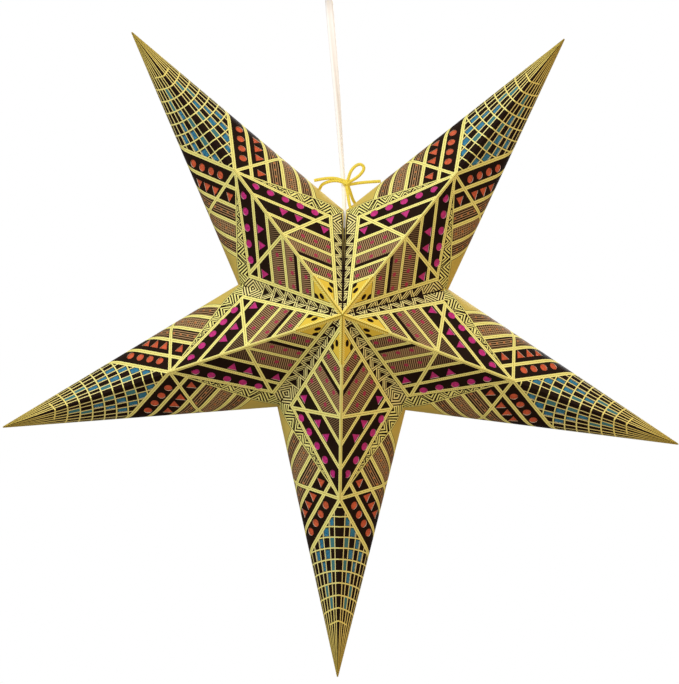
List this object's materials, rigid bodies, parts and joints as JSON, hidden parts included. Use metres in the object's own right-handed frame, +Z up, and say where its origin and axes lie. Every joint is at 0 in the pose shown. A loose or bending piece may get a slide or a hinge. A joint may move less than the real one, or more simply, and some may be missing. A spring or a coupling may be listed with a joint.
{
  "type": "paper star lantern",
  "caption": "Five-pointed hanging star lantern of folded, cut and printed card with tissue behind its windows, a lamp inside, a flat cord and a ceiling fitting.",
  "frame": {"origin": "middle of the ceiling fitting's face, where it meets the ceiling", "axes": "+Z up, out of the ceiling fitting's face; the star hangs below with its front towards -Y and +X to the viewer's right"},
  "size_m": [0.6046, 0.184, 0.646],
  "materials": {
    "printed_card": "satin printed card",
    "blue_tissue": "matt tissue paper",
    "orange_tissue": "matt tissue paper",
    "magenta_tissue": "matt tissue paper",
    "string": "twisted yarn",
    "bulb_glass": "opal",
    "cord_jacket": "smooth",
    "holder_plastic": "moulded",
    "fitting_plastic": "moulded",
    "base_plastic": "moulded",
    "terminal_plastic": "moulded"
  },
  "bodies": {
    "root": {"arm_bottom": "printed_card", "arm_left": "printed_card", "arm_right": "printed_card", "arm_upper_left": "printed_card", "arm_upper_right": "printed_card", "blue_tissue_bottom": "blue_tissue", "blue_tissue_left": "blue_tissue", "blue_tissue_right": "blue_tissue", "blue_tissue_upper_left": "blue_tissue", "blue_tissue_upper_right": "blue_tissue", "bulb": "bulb_glass", "ceiling_base": "base_plastic", "ceiling_cover": "fitting_plastic", "cord_grip": "fitting_plastic", "lamp_cap": "holder_plastic", "lamp_cord": "cord_jacket", "lamp_holder": "holder_plastic", "magenta_tissue_bottom": "magenta_tissue", "magenta_tissue_left": "magenta_tissue", "magenta_tissue_right": "magenta_tissue", "magenta_tissue_upper_left": "magenta_tissue", "magenta_tissue_upper_right": "magenta_tissue", "orange_tissue_bottom": "orange_tissue", "orange_tissue_left": "orange_tissue", "orange_tissue_right": "orange_tissue", "orange_tissue_upper_left": "orange_tissue", "orange_tissue_upper_right": "orange_tissue", "terminal_block": "terminal_plastic", "tie_knot": "string", "tie_string_left": "string", "tie_string_right": "string"}
  },
  "joints": []
}
